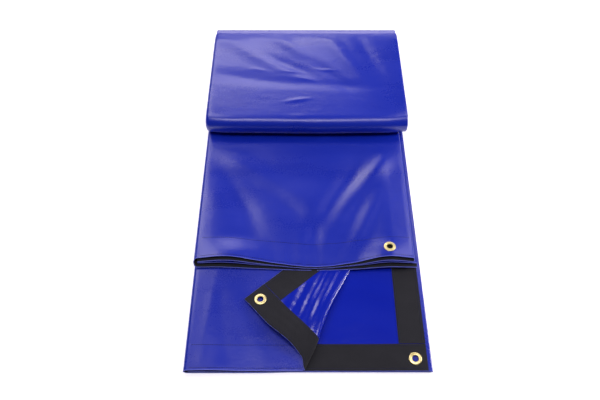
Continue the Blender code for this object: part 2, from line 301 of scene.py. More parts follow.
def webbing():
    finish = Finish("black_webbing")
    x, y, _ = finish.axes()
    ribs = ((x + y) * (2 * math.pi / RIB_PITCH)).sine() * ((x - y) * (2 * math.pi / RIB_PITCH)).sine()
    fuzz = finish.noise(900.0, 3.0)
    worn = finish.noise(30.0, 3.0)
    shade = worn * 0.7 + fuzz * 0.3
    colour = finish.mix(shade, (0.0075, 0.0085, 0.013, 1.0), (0.019, 0.021, 0.028, 1.0))
    finish.bump(ribs * 0.6 + fuzz * 0.4, 0.0004, 0.6)
    values = {"Roughness": 0.62 + fuzz * 0.2, "Sheen_Weight": 0.12, "Specular_IOR_Level": 0.25}
    return finish.surface(Base_Color=colour, **values)


# The thread is a dark navy of its own, and its colour is made darker still as painted shade for the groove that the
# stitches press into the cloth.
def thread():
    finish = Finish("hem_thread_and_groove_shade")
    twist = finish.noise(2400.0, 2.0)
    colour = finish.mix(twist, (0.001, 0.002, 0.030, 1.0), (0.003, 0.005, 0.070, 1.0))
    return finish.surface(Base_Color=colour, Roughness=0.55 + twist * 0.1)


def brass():
    finish = Finish("grommet_brass")
    haze = finish.noise(160.0, 4.0)
    scratch = finish.noise(1.0, 3.0, 0.6, finish.stretched(300.0, 2200.0, 300.0, 0.6))
    colour = finish.mix(haze, (0.86, 0.72, 0.26, 1.0), (0.98, 0.90, 0.50, 1.0))
    finish.bump(scratch * 0.4 + haze * 0.2, 0.0003, 0.35)
    return finish.surface(Base_Color=colour, Metallic=0.9, Roughness=haze * 0.16 + 0.30)


WEB = webbing()
THREAD_AND_GROOVE_SHADE = thread()
BRASS = brass()
print("trim finishes", WEB.name, THREAD_AND_GROOVE_SHADE.name, BRASS.name)

# %% [markdown]
# ## How the cloth is laid out
# Across its width the sheet is folded in half with the hemmed sides together, and then in half
# again. A cut through the strip is one ribbon: leaf 1 runs in from its free edge to the left
# fold, leaf 4 runs back under it to the right fold, leaf 3 returns over leaf 4 to a small fold
# inside the left one, and leaf 2 ends at the second free edge. The same ribbon makes the lower
# tier, the tongue and the packet: only its four heights change, and the path that it follows.

# %% The ribbon across the strip
LEFT = -HALF_WIDTH
FOLD_COLUMNS = 9
STEP = 0.010                      # between columns, and finer beside a grommet
FINE_STEP = 0.0022
FINE_REACH = 0.015


def places(a, b, dense=()):
    """Places from a to b, as close as STEP, and finer near each place in dense."""
    sign = 1.0 if b > a else -1.0
    at, found = a, [a]
    while (b - at) * sign > STEP * 1.4:
        near = any(abs(at + sign * STEP / 2 - c) < FINE_REACH + STEP / 2 for c in dense)
        at += sign * (FINE_STEP if near else STEP)
        found.append(at)
    return found + [b]


def run(a, b, count=44):
    """Evenly spaced values from a to b."""
    return [a + (b - a) * i / count for i in range(count + 1)]


def half_turn(x, start, end, side, count=FOLD_COLUMNS):
    """A half circle from one height to another, bulging to the side."""
    centre, radius = (start + end) / 2, (start - end) / 2
    points = []
    for i in range(1, count):
        angle = math.pi * i / count
        points.append((x + side * abs(radius) * math.sin(angle), centre + radius * math.cos(angle)))
    return points


def ribbon(heights, right_fold, free_1, free_2, dense_2=(), dense_4=()):
    """The cut through the strip, as (x, height) pairs; the heights are those of leaves 1 to 4."""
    h1, h2, h3, h4 = heights
    left = LEFT + abs(h1 - h4) / 2
    inner = left + abs(h3 - h2) / 2 + 0.002
    right = right_fold - abs(h4 - h3) / 2
    points = [(x, h1) for x in run(free_1, left)]
    points += half_turn(left, h1, h4, -1)
    points += [(x, h4) for x in places(left, right, dense_4)]
    points += half_turn(right, h4, h3, 1)
    points += [(x, h3) for x in places(right, inner)]
    points += half_turn(inner, h3, h2, -1)
    points += [(x, h2) for x in places(inner, free_2, dense_2)]
    return np.array(points)


def offset(cut, distance):
    """The same cut, moved sideways by a distance, to the left of its direction."""
    way = np.gradient(cut, axis=0)
    way /= np.linalg.norm(way, axis=1)[:, None]
    return cut + distance * np.stack([-way[:, 1], way[:, 0]], axis=1)


def rows_from(start, end, edge=0.036, fine=0.0022, mid=0.005, coarse=0.012):
    """Row places along the strip: fine at the hem, then coarser."""
    found = [start]
    while end - found[-1] > coarse * 1.4:
        gone = found[-1] - start
        found.append(found[-1] + (fine if gone < edge else mid if gone < 0.13 else coarse))
    return found + [end]


print("ribbon columns", len(ribbon(LOWER_Z[::-1], HALF_WIDTH, FREE_EDGE, FREE_EDGE)))


# %% [markdown]
# ## How the stack settles
# Flat leaves at even heights would look like card. Real cloth is held up where it is folded and
# sinks in between, so every height in the stack is scaled by one smooth function of the place:
# full height along the side folds and under the packet, lower in the middle of the tongue. Long
# shallow ridges run out from the packet's corners. At the tongue's front the leaves splay: they
# end one in front of the other, and the hem's corners curl up a little. Whole stacks move
# together, which keeps their order, and the hems, stitches and grommets move with them. The
# turned corner's far end still runs into the tongue that lies over it.

# %% Settling
def smooth(t):
    t = np.clip(t, 0.0, 1.0)
    return t * t * (3.0 - 2.0 * t)


def between(v, a, b):
    """0 before a, 1 after b, and smooth in between; a may be the larger."""
    return smooth((v - a) / (b - a))


def hump(v, centre, width):
    return np.exp(-((v - centre) / width) ** 2)


def ridge(x, y, cx, cy, degrees, length, width, height):
    """A long soft ridge or dent, which runs at an angle from +X."""
    a = math.radians(degrees)
    along = (x - cx) * math.cos(a) + (y - cy) * math.sin(a)
    across = (y - cy) * math.cos(a) - (x - cx) * math.sin(a)
    return height * np.exp(-(along / length) ** 2 - (across / width) ** 2)


TONGUE_SAG = 0.30                 # share of the height lost in the middle of the tongue
FRONT_SAG = 0.22                  # the same at the lower tier's front hem
RIDGES = [                        # centre x, y, angle, length, width, height: for the tongue
    (-0.115, 0.005, -38, 0.10, 0.020, 0.0060),
    (-0.160, -0.050, -62, 0.10, 0.022, -0.0040),
    (-0.060, -0.055, -50, 0.10, 0.024, -0.0036),
    (0.135, -0.015, 52, 0.11, 0.020, 0.0066),
    (0.070, -0.060, 58, 0.13, 0.022, -0.0044),
    (0.120, -0.125, 66, 0.08, 0.015, 0.0042),
    (0.010, 0.030, 4, 0.13, 0.018, 0.0030),
    (-0.010, -0.165, 80, 0.06, 0.012, 0.0014),
    (0.040, -0.170, 100, 0.06, 0.011, 0.0014),
]
CREASES = [                       # the same, for the lower tier in front
    (-0.190, -0.33, 84, 0.10, 0.009, 0.0022),
    (-0.160, -0.36, 100, 0.08, 0.010, -0.0016),
    (-0.120, -0.34, 118, 0.10, 0.016, 0.0018),
    (-0.075, -0.37, 80, 0.06, 0.010, -0.0014),
    (-0.150, -0.27, 20, 0.06, 0.012, -0.0012),
    (0.100, -0.33, 50, 0.07, 0.013, 0.0012),
    (0.130, -0.30, 20, 0.05, 0.010, -0.0010),
]
SPLAY = [-0.013, -0.0065, -0.0055, 0.0]      # how far forward leaves 4, 3, 2 and 1 end
CURL = [0.0005, 0.0030, 0.0075, 0.0100]      # how far they curl up at the hem's left end


def settle(points, tongue=0.0):
    """Move points of the flat stack to where the cloth really lies; tongue is 1 for the tongue's own."""
    p = np.array(points, float)
    x, y, z = p[..., 0].copy(), p[..., 1].copy(), p[..., 2].copy()
    sides = np.maximum(between(x, LEFT + 0.12, LEFT + 0.02), between(x, HALF_WIDTH - 0.13, HALF_WIDTH - 0.05))
    away = between(y, PACKET_FRONT - 0.004, PACKET_FRONT - 0.12)
    near = between(y, FRONT + 0.16, FRONT)
    sag = TONGUE_SAG * away * (1 - near) + FRONT_SAG * near
    scale = 1.0 - sag * (1.0 - sides)
    tongue_part = between(y, TONGUE_FRONT - 0.04, TONGUE_FRONT + 0.06)
    height = sum(ridge(x, y, *r) for r in RIDGES) * tongue_part * away
    height = height + sum(ridge(x, y, *r) for r in CREASES) * between(y, TONGUE_FRONT + 0.03, TONGUE_FRONT - 0.03)
    lift = np.clip(z / TONGUE_Z[3], 0.0, 1.0)
    p[..., 2] = z * scale + height * lift
    hem = tongue * between(y, TONGUE_FRONT + 0.17, TONGUE_FRONT)
    edge = tongue * between(y, TONGUE_FRONT + 0.06, TONGUE_FRONT)
    top = between(z, TONGUE_Z[0], TONGUE_Z[3])
    bow = -0.012 * hump(x, 0.015, 0.085) + 0.004 * hump(x, -0.16, 0.05) + 0.004 * hump(x, 0.16, 0.05)
    p[..., 1] = y + hem * bow * (0.35 + 0.65 * top) + edge * np.interp(z, TONGUE_Z, SPLAY)
    curl = hump(x, -0.150, 0.055) + 0.75 * hump(x, 0.155, 0.05)
    droop = -0.0022 * hump(x, 0.015, 0.07) * top
    gathers = 0.0007 * np.sin(x * 190.0 + 2.0 * np.sin(x * 41.0)) * hump(x, 0.0, 0.12) * top
    p[..., 2] += edge * (np.interp(z, TONGUE_Z, CURL) * curl + droop + gathers)
    front = between(y, FRONT + 0.05, FRONT) * (1 - tongue)
    p[..., 2] += front * 0.0026 * hump(x, -0.175, 0.035) * between(z, LOWER_Z[1], LOWER_Z[3])
    p[..., 1] += front * np.interp(z, LOWER_Z, [-0.0012, 0.0, -0.0018, 0.0]) * between(x, -0.02, -0.10)
    return p


# %% [markdown]
# ## Making a mesh from rows of points
# Every cloth piece is a grid: rows across the strip, one after another along it. One helper
# joins the rows into faces, leaves out the faces inside a grommet's barrel, and gives the grid
# the cloth's real thickness: two skins along the surface's own directions, and a rim round every
# open edge. A Solidify modifier could do the same, but its rims would be shaded as if they were
# round. Here the rim's edges are marked sharp, so a cut edge stays crisp and a joint between two
# pieces doesn't show. The sides take their own finishes: the coating is satin on one side and
# glossy on the other.

# %% Mesh helpers
PUNCH = 0.0080                    # faces this near to a grommet's centre are left out


def link(name, verts, faces, materials):
    mesh = bpy.data.meshes.new(name)
    mesh.from_pydata([tuple(v) for v in verts], [], faces)
    for mat in materials:
        mesh.materials.append(mat)
    mesh.shade_smooth()
    obj = bpy.data.objects.new(name, mesh)
    bpy.context.scene.collection.objects.link(obj)
    return obj


def near_hole(flat, holes):
    """Whether a face of the flat layout lies inside one of the holes, given as (x, y, z)."""
    centre = np.mean(flat, axis=0)
    return any(
        math.hypot(centre[0] - h[0], centre[1] - h[1]) < PUNCH and abs(centre[2] - h[2]) < 0.0016 for h in holes
    )


def skin_directions(grid):
    """Unit directions at right angles to a grid's surface."""
    along = np.gradient(grid, axis=1)
    ahead = np.gradient(grid, axis=0)
    normal = np.cross(along, ahead)
    return normal / np.maximum(np.linalg.norm(normal, axis=2), 1e-12)[..., None]


def grid_faces(rows, columns, flip, layout, holes):
    faces = []
    for r in range(rows - 1):
        for c in range(columns - 1):
            a = r * columns + c
            quad = (a, a + 1, a + columns + 1, a + columns)
            if layout is not None and near_hole(layout[list(quad)], holes):
                continue
            faces.append(quad[::-1] if flip else quad)
    return faces


def open_edges(faces):
    """Edges of one face only, in that face's direction."""
    directed = {(f[i], f[(i + 1) % 4]) for f in faces for i in range(4)}
    return [(a, b) for a, b in directed if (b, a) not in directed]


def mark_sharp(mesh, pairs):
    keys = {frozenset(p) for p in pairs}
    flags = [frozenset(e.vertices) in keys for e in mesh.edges]
    attribute = mesh.attributes.new("sharp_edge", "BOOLEAN", "EDGE")
    attribute.data.foreach_set("value", flags)


def cloth_grid(name, grid, materials, flip=False, thickness=CLOTH, flat=None, holes=()):
    """A sheet through a grid of points: an outer skin, an inner skin and a rim."""
    grid = np.array(grid, float)
    rows, columns = grid.shape[:2]
    layout = None if flat is None else np.array(flat, float).reshape(-1, 3)
    faces = grid_faces(rows, columns, flip, layout, holes)
    out = skin_directions(grid).reshape(-1, 3) * thickness / 2 * (-1 if flip else 1)
    verts = grid.reshape(-1, 3)
    used = sorted({i for f in faces for i in f})
    place = {old: new for new, old in enumerate(used)}
    faces = [tuple(place[i] for i in f) for f in faces]
    count = len(used)
    rim = sorted(open_edges(faces))
    both = np.concatenate([verts[used] + out[used], verts[used] - out[used]])
    inner = [tuple(i + count for i in reversed(f)) for f in faces]
    sides = [(b, a, a + count, b + count) for a, b in rim]
    obj = link(name, both, faces + inner + sides, materials)
    # The rim takes the third finish, the pale edge colour that paints a highlight on every cut edge.
    if len(materials) > 1:
        slots = [0] * len(faces) + [1] * len(inner) + [2] * len(sides)
        obj.data.polygons.foreach_set("material_index", slots)
    mark_sharp(obj.data, rim + [(a + count, b + count) for a, b in rim])
    print(name, rows, "x", columns)
    return obj


# %% [markdown]
# ## Sewing and brass
# A hem is sewn with a row of lockstitches near the webbing's inner edge and one near the cut
# edge. Each stitch shows as a short raised lozenge of thread, so a row is many small lozenges
# that follow the cloth. A grommet is turned: a flange with a rolled rim, a barrel through the
# cloth and a washer on the other side, all made by spinning one profile about the hole's axis.

# %% Stitches and grommets
STITCH_PITCH = 0.0042
STITCH_LENGTH = 0.0034
THREAD_WIDTH = 0.0011
THREAD_HEIGHT = 0.0005
GROMMET_SIDES = 56
FLANGE = [                        # radius and height above the cloth, in metres, round the flange
    (0.0060, -0.0004), (0.0060, 0.0003), (0.0062, 0.0008), (0.0066, 0.0012), (0.0073, 0.0014), (0.0082, 0.0014),
    (0.0092, 0.0013), (0.0102, 0.0011), (0.0110, 0.0009), (0.0116, 0.0006), (0.0119, 0.0003), (0.0120, 0.0000),
]


def stitch_row(line, up):
    """Lozenges along a list of points; up is the side of the cloth that they stand on."""
    line = np.array(line, float)
    steps = np.linalg.norm(np.diff(line, axis=0), axis=1)
    along = np.concatenate([[0.0], np.cumsum(steps)])
    verts, faces = [], []
    for start in np.arange(0.001, along[-1] - STITCH_LENGTH, STITCH_PITCH):
        spans = (start + 0.0, start + STITCH_LENGTH)
        ends = [np.array([np.interp(t, along, line[:, i]) for i in range(3)]) for t in spans]
        way = (ends[1] - ends[0]) / np.linalg.norm(ends[1] - ends[0])
        side = np.cross(way, (0.0, 0.0, 1.0))
        side /= np.linalg.norm(side)
        rise = np.cross(side, way) * up
        base = len(verts)
        for share, wide, high_up in ((0.0, 0.45, 0.1), (0.3, 1.0, 1.0), (0.7, 1.0, 1.0), (1.0, 0.45, 0.1)):
            centre = ends[0] + (ends[1] - ends[0]) * share
            verts.append(centre + side * THREAD_WIDTH / 2 * wide - rise * 0.0001)
            verts.append(centre + rise * THREAD_HEIGHT * high_up)
            verts.append(centre - side * THREAD_WIDTH / 2 * wide - rise * 0.0001)
        for k in range(3):
            a = base + 3 * k
            faces += [(a, a + 1, a + 4, a + 3), (a + 1, a + 2, a + 5, a + 4), (a + 2, a, a + 3, a + 5)]
        faces += [(base, base + 2, base + 1), (base + 9, base + 10, base + 11)]
    return verts, faces


def stitches(name, lines, up=1.0):
    verts, faces = [], []
    for line in lines:
        v, f = stitch_row(line, up)
        faces += [tuple(i + len(verts) for i in face) for face in f]
        verts += v
    print(name, len(faces) // 11, "stitches")
    return link(name, verts, faces, [THREAD_AND_GROOVE_SHADE])


def bead(name, line, radius=0.0007, sides=6):
    """The sealed cut edge: a thin bead of coating along a line of points, in the pale edge finish that paints its
    highlight.
    """
    line = np.array(line, float)
    way = np.gradient(line, axis=0)
    way /= np.maximum(np.linalg.norm(way, axis=1), 1e-12)[:, None]
    side = np.cross(way, (0.0, 0.0, 1.0))
    side /= np.maximum(np.linalg.norm(side, axis=1), 1e-12)[:, None]
    rise = np.cross(side, way)
    angles = [2 * math.pi * i / sides for i in range(sides)]
    rings = [line + radius * (math.cos(a) * side + math.sin(a) * rise) for a in angles]
    verts = np.stack(rings, axis=1).reshape(-1, 3)
    faces = []
    for k in range(len(line) - 1):
        for i in range(sides):
            j = (i + 1) % sides
            faces.append((k * sides + i, k * sides + j, (k + 1) * sides + j, (k + 1) * sides + i))
    faces += [tuple(reversed(range(sides))), tuple(range(len(verts) - sides, len(verts)))]
    return link(name, verts, faces, [EDGE])


def turned_ring(name, profile, centre, x_way, y_way, thickness_down):
    """A grommet about a point of the cloth: the profile above, and its mirror below."""
    x_way = Vector(x_way).normalized()
    up = x_way.cross(Vector(y_way)).normalized()
    y_way = up.cross(x_way)
    whole = list(profile) + [(r, -thickness_down - h) for r, h in reversed(profile)]
    verts, faces = [], []
    for r, h in whole:
        for i in range(GROMMET_SIDES):
            a = 2 * math.pi * i / GROMMET_SIDES
            verts.append(Vector(centre) + r * (math.cos(a) * x_way + math.sin(a) * y_way) + h * up)
    for k in range(len(whole)):
        for i in range(GROMMET_SIDES):
            j = (i + 1) % GROMMET_SIDES
            a, b = k * GROMMET_SIDES, ((k + 1) % len(whole)) * GROMMET_SIDES
            faces.append((a + i, b + i, b + j, a + j))
    return link(name, verts, faces, [BRASS])


print("grommet profile", len(FLANGE), "points")

# %% [markdown]
# ## The turned corner
# The top leaf's front right corner is turned back over it along a diagonal crease, so that its
# hemmed side shows. Cloth this stiff doesn't fold flat: it rolls over in a half round that is
# widest in the middle of the crease. A place on the corner is given by its distances from the
# two hems, and one function puts it on the round or on the flap. Where the corner has rolled,
# the leaf under it stops a little short of the crease, because the round uses up cloth.

# %% Shape of the corner
CREASE_ANGLE = math.radians(65.3)
CREASE_FOOT = Vector((-0.006, FRONT))
REACH = 0.181                     # front hem left on the turned corner
FLAP_LIFT = 0.017                 # how far the flap's free end stands up
FLAP_SLIDE = 0.011
FALL_LENGTH = 0.10                # in which the flap comes down from the roll
STREAK, STREAK_PITCH = 0.0011, 0.021
BULGE, DENT, PUCKER = 0.0055, 0.0006, 0.0008
CREASE_DIR = Vector((math.cos(CREASE_ANGLE), math.sin(CREASE_ANGLE)))
CREASE_LEFT = Vector((-CREASE_DIR.y, CREASE_DIR.x))
SIDE_DIR = Vector((math.sin(2 * CREASE_ANGLE), -math.cos(2 * CREASE_ANGLE)))
SIN, COS, TAN = math.sin(CREASE_ANGLE), math.cos(CREASE_ANGLE), math.tan(CREASE_ANGLE)
ROUND_LENGTH = 0.224              # the crease lies flat beyond this
FLAT_ROUND = (FLAP_Z - LOWER_Z[3]) / 2
FULL_ROUND = 0.0085


def round_radius(s):
    """Radius of the roll at a distance s along the crease from the front hem."""
    t = np.clip((s + 0.012) / (ROUND_LENGTH + 0.012), 0.0, 1.0)
    return FLAT_ROUND + (FULL_ROUND - FLAT_ROUND) * np.sin(math.pi * t) ** 1.4


def crease_point(y):
    """Where the leaf under the corner ends, at a place y along the strip."""
    s = (y - FRONT) / SIN
    for _ in range(8):
        s = (y - FRONT - COS * math.pi / 2 * float(round_radius(s))) / SIN
    c = math.pi / 2 * float(round_radius(s))
    return CREASE_FOOT.x + s * COS - c * SIN


def crease_x(y):
    """The same, but no further out than the free edge."""
    return min(FREE_EDGE, crease_point(y))


def flap_end(a):
    """Distance from the front hem to the end of the roll, at a distance a from the side hem."""
    b = (REACH - a) * TAN
    for _ in range(12):
        s = (REACH - a) * COS + b * SIN
        b = (REACH - a) * TAN + math.pi / 2 * float(round_radius(s)) / COS
    return b


def flap_point(a, b, out=0.0):
    """A place on the turned corner: a from its side hem, b from its front hem, out from the cloth."""
    a, b = float(a), float(b)
    s = (REACH - a) * COS + b * SIN
    from_crease = ((REACH - a) * TAN - b) * COS
    r = float(round_radius(s))
    c = math.pi / 2 * r
    if from_crease < c:
        angle = (from_crease + c) / r
        d = c - (r + out) * math.sin(angle)
        z = LOWER_Z[3] + r - (r + out) * math.cos(angle)
    else:
        d = from_crease
        fall = 1.0 - float(between(from_crease, c, c + FALL_LENGTH))
        z = FLAP_Z + (LOWER_Z[3] + 2 * r - FLAP_Z) * fall + out
    away = float(between(from_crease, c + 0.004, c + 0.06))
    t = max(0.0, (REACH - a) / REACH)
    low_end = 1.0 - float(between(b, 0.0, 0.095))
    lift = away * math.sin(math.pi * min(1.0, t) ** 0.75) ** 0.8 * low_end + 0.12 * t * low_end
    slide = float(between(t, 0.0, 0.13)) * (1.0 - float(between(t, 0.18, 0.66)))
    slide *= 1.0 - float(between(b, 0.0, 0.13))
    streak = STREAK * math.sin(from_crease * 2 * math.pi / STREAK_PITCH)
    streak *= float(between(from_crease, c, c + 0.01))
    streak *= 1.0 - float(between(from_crease, 0.04, 0.09))
    streak *= float(hump(s, 0.13, 0.07))
    pucker = PUCKER * math.sin(a * 95.0 + b * 60.0) * away * (1.0 - float(between(b, 0.08, 0.12)))
    place = CREASE_FOOT + s * CREASE_DIR + d * CREASE_LEFT + (0.002 * lift + FLAP_SLIDE * slide) * SIDE_DIR
    x, y = float(place[0]), float(place[1])
    crown = between(y, -0.225, -0.298) * (1.0 - between(y, -0.298, -0.345))
    bulge = BULGE * float(crown * hump(x, -0.015, 0.055))
    dent = DENT * math.sin(x * 260.0 + y * 90.0) * math.sin(y * 210.0) * float(hump(x, -0.01, 0.05))
    return (*place, z + FLAP_LIFT * lift + streak + pucker + (bulge + dent) * away)


print("roll ends", round(flap_end(0.0), 4), "from the front hem; leaf ends at x", round(crease_x(FRONT), 4))

# %% [markdown]
# ## The lower tier
# This is the strip's long end. It lies on the floor from the front hem to the bend behind. Its
# top leaf stops where the corner rolls over, and the leaf below shows its hemmed side there:
# black webbing along both edges, and a grommet where they meet.

# %% Lower tier
CORNER_INSET = 0.022              # from a grommet's centre to both edges
CORNER_HOLE = (FREE_EDGE - CORNER_INSET, FRONT + CORNER_INSET, LOWER_Z[2])
LOWER_ROWS = rows_from(FRONT, REAR)


def lower_cut(y, away=0.0):
    z4, z3, z2, z1 = LOWER_Z
    cut = ribbon((z1, z2, z3, z4), HALF_WIDTH, crease_x(y), FREE_EDGE, dense_2=(CORNER_HOLE[0],))
    return offset(cut, away) if away else cut


def strip_rows(ys, cut_at):
    return [[(x, y, z) for x, z in cut_at(y)] for y in ys]


lower_flat = strip_rows(LOWER_ROWS, lower_cut)
lower = cloth_grid("lower_tier_cloth", settle(lower_flat), CLOTH_FINISH, True, CLOTH, lower_flat, [CORNER_HOLE])
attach(lower, "base")
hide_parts(*[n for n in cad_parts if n.startswith(("lower_leaf", "lower_fold"))])


# %% [markdown]
# ## The tongue
# The strip's short end comes forward from the bend behind, under the packet, and ends in a hem
# that bows towards the front in the middle. It lifts about a line just in front of the packet.
# The cloth is one grid on both sides of that line.

# %% Tongue
TONGUE_HOLE = (TONGUE_FOLD - 0.048, TONGUE_FRONT + CORNER_INSET, TONGUE_Z[3])
TONGUE_ROWS = rows_from(TONGUE_FRONT, REAR)


def tongue_cut(y, away=0.0):
    z4, z3, z2, z1 = TONGUE_Z
    cut = ribbon((z4, z3, z2, z1), TONGUE_FOLD, FREE_EDGE, FREE_EDGE, dense_4=(TONGUE_HOLE[0],))
    return offset(cut, -away) if away else cut


tongue_flat = strip_rows(TONGUE_ROWS, tongue_cut)
tongue_points = settle(tongue_flat, 1.0)
tongue = cloth_grid("tongue_cloth", tongue_points, CLOTH_FINISH, False, CLOTH, tongue_flat, [TONGUE_HOLE])
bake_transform(tongue)
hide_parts(*[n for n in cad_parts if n.startswith(("tongue_leaf", "tongue_fold", "root_"))])


# %% [markdown]
# ## The packet
# At the packet the strip's four leaves turn round a front fold, one inside the other. The path
# is a U on its side. The ribbon is the same, and its heights are now distances from the middle
# of the U. Each row is therefore one cut of the strip, turned to face along the path.

# %% Packet
PACKET_MID = (PACKET_LOW + TOP) / 2
OUTER = (TOP - PACKET_LOW) / 2 - 0.0005
PACKET_N = [OUTER, OUTER * 0.80, OUTER * 0.66, OUTER * 0.34]     # leaves 4, 3, 2 and 1
FRONT_CENTRE = PACKET_FRONT + OUTER
PACKET_RIDGES = [                 # centre x, y, angle, length, width, height
    (-0.130, 0.320, -34, 0.11, 0.018, 0.0030),
    (-0.060, 0.285, -30, 0.10, 0.014, -0.0026),
    (-0.020, 0.330, -40, 0.11, 0.016, 0.0026),
    (0.040, 0.270, -50, 0.10, 0.014, -0.0022),
    (0.095, 0.300, -62, 0.10, 0.016, 0.0028),
    (0.150, 0.320, -70, 0.08, 0.013, -0.0020),
    (-0.150, 0.240, -10, 0.07, 0.016, -0.0018),
    (0.020, 0.215, -4, 0.20, 0.014, -0.0012),
]
DIMPLES = [                       # small half-moon kinks where the cloth has buckled
    (-0.115, 0.262, -20, 0.020, 0.0035, 0.0011),
    (-0.030, 0.255, -12, 0.022, 0.0035, 0.0012),
    (0.000, 0.232, -18, 0.018, 0.0030, 0.0010),
    (0.045, 0.262, -8, 0.018, 0.0032, 0.0010),
    (0.110, 0.330, -14, 0.016, 0.0032, 0.0009),
    (-0.020, 0.165, 12, 0.022, 0.0045, 0.0014),
]


def packet_path():
    """Places along the U: (y, direction of its outer side in degrees), from the lower lap up."""
    laps = [(y, -90.0) for y in list(np.arange(REAR, FRONT_CENTRE, -0.010))]
    turn = [(FRONT_CENTRE, -90.0 - 180.0 * i / 26) for i in range(27)]
    back = [(y, -270.0) for y in list(np.arange(FRONT_CENTRE + 0.003, REAR - 0.002, 0.003)) + [REAR]]
    return laps + turn + back


def packet_cut(away=0.0):
    n4, n3, n2, n1 = PACKET_N
    cut = ribbon((n1, n2, n3, n4), HALF_WIDTH, FREE_EDGE, FREE_EDGE)
    return offset(cut, -away) if away else cut


DIP = 0.0034                      # the top leaves slope down by this much before the bend behind
DIP_LENGTH = 0.036


def puff(points):
    """Soft ridges on the packet's top, which fade out towards the bend behind."""
    p = np.array(points, float)
    x, y, z = p[..., 0].copy(), p[..., 1].copy(), p[..., 2].copy()
    lift = between(z, PACKET_MID, TOP)
    fade = between(y, REAR, REAR - 0.03)
    height = sum(ridge(x, y, *r) for r in PACKET_RIDGES) + sum(ridge(x, y, *r) for r in DIMPLES)
    sloped = np.clip((y - (REAR - DIP_LENGTH)) / DIP_LENGTH, 0.0, 1.0)
    ends = hump(x, LEFT, 0.03) + hump(x, HALF_WIDTH, 0.03)
    nose = between(y, FRONT_CENTRE + 0.02, FRONT_CENTRE - 0.02)
    p[..., 2] = z + height * lift * fade - DIP * lift * sloped ** 2 - 0.0035 * lift * ends * nose
    snout = between(y, FRONT_CENTRE + 0.01, PACKET_FRONT)
    p[..., 1] = y + snout * (0.0045 * ends - 0.002 * hump(x, 0.02, 0.10))
    p[..., 2] += snout * 0.0022 * hump(x, -0.02, 0.012) * lift
    return p


def packet_rows(cut):
    rows = []
    for y, degrees in packet_path():
        a = math.radians(degrees)
        rows.append([(x, y + n * math.cos(a), PACKET_MID + n * math.sin(a)) for x, n in cut])
    return puff(rows)


packet = cloth_grid("packet_cloth", packet_rows(packet_cut()), CLOTH_FINISH)
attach(packet, "packet")
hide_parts(*[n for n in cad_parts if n.startswith("packet_layer")])


# %% [markdown]
# ## The bend behind
# Eight leaves turn over together at the rear, one inside the other. Each bend is its own piece,
# an arc from its own foot to its own top, so its ends start on the leaves that it joins.
# Stiff cloth springs open, so every arc reaches a third further back than a half circle, and the
# sharp inner ones further still. The bends nest at rest only: opened wide, they cross each other.

# %% Rear bend
BEND_STEPS = 22
UPPER_Z = [PACKET_MID + n for n in PACKET_N]
INNER_Z = [PACKET_MID - n for n in PACKET_N[::-1]]
BEND_NAMES = ["rear_bend_leaf_%d" % n for n in (4, 3, 2, 1, 8, 7, 6, 5)]


def bend_rows(low_z, high_z, xs, away=0.0):
    """An arc from the lower leaf to the upper one, which ends with the upper leaf's slope."""
    dip = DIP * float(between(high_z, PACKET_MID, TOP))
    tilt = math.atan(2 * dip / DIP_LENGTH)
    radius = (high_z - dip - low_z) / (1 + math.cos(tilt))
    reach = max(1.34 * radius, 0.008 + 0.35 * radius)
    rows = []
    for i in range(BEND_STEPS + 1):
        a = -math.pi / 2 + (math.pi - tilt) * i / BEND_STEPS
        foot_y = REAR - reach * math.sin(tilt) * float(smooth(i / BEND_STEPS))
        y, z = foot_y + (reach + away) * math.cos(a), low_z + radius + (radius + away) * math.sin(a)
        rows.append([(x, y, z) for x in xs])
    return np.array(rows)


def bend_blend(piece, high_z):
    top = high_z - DIP * float(between(high_z, PACKET_MID, TOP))
    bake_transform(piece)


rear_bends = []
for index, (name, low_z, high_z) in enumerate(zip(BEND_NAMES, LOWER_Z + TONGUE_Z, UPPER_Z + INNER_Z)):
    xs = run(LEFT + 0.003 + 0.0006 * index, (HALF_WIDTH - 0.002 if index in (0, 1) else FREE_EDGE), 50)
    plain_out = index in (0, 2, 4, 6)
    bend = cloth_grid(name, bend_rows(low_z, high_z, xs), CLOTH_FINISH, flip=not plain_out)
    bend_blend(bend, high_z)
    rear_bends.append(bend)
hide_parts("rear_fold_outer", "rear_fold_inner")


# %% [markdown]
# ## The turned corner's cloth and webbing
# The corner is a grid in its own two directions, away from the side hem and away from the front
# hem. Its last row ends under the roll, where the leaf below it stops. Its webbing is the same
# function a little further out, so both bend alike. The tip lifts about a line across the flap.

# %% Turned corner
TIP_HOLE = (CORNER_INSET, CORNER_INSET, 0.0)


def flap_grid(a_places, b_places, out=0.0):
    """Points of the settled flap, and the same places as (a, b, 0)."""
    rows, flat = [], []
    for a in a_places:
        places_b = b_places(a)
        rows.append([flap_point(a, b, out) for b in places_b])
        flat.append([(a, b, 0.0) for b in places_b])
    return settle(rows), flat


def hem_to_roll(a):
    """From the front hem to the end of the roll, finest at the grommet and on the roll."""
    end = flap_end(a)
    near = [i * 0.0022 for i in range(17)]
    rest = [0.0352 + (0.39 + 0.045 - 0.0352) * i / 64 for i in range(1, 65)]
    whole = near + rest
    return [v / whole[-1] * end for v in whole]


def across_tip(far, start=0.0):
    near = [start + i * 0.0022 for i in range(17)]
    return near + list(np.linspace(near[-1] + 0.004, far, 34))


FAR_A = REACH + math.pi / 2 * float(round_radius(0.0)) / SIN - 0.0012
flap_points, flap_flat = flap_grid(across_tip(FAR_A), hem_to_roll)
flap = cloth_grid("turned_corner_cloth", flap_points, CLOTH_FINISH, False, CLOTH, flap_flat, [TIP_HOLE])
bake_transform(flap)
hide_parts("corner_panel", "corner_fold", "tip_panel")


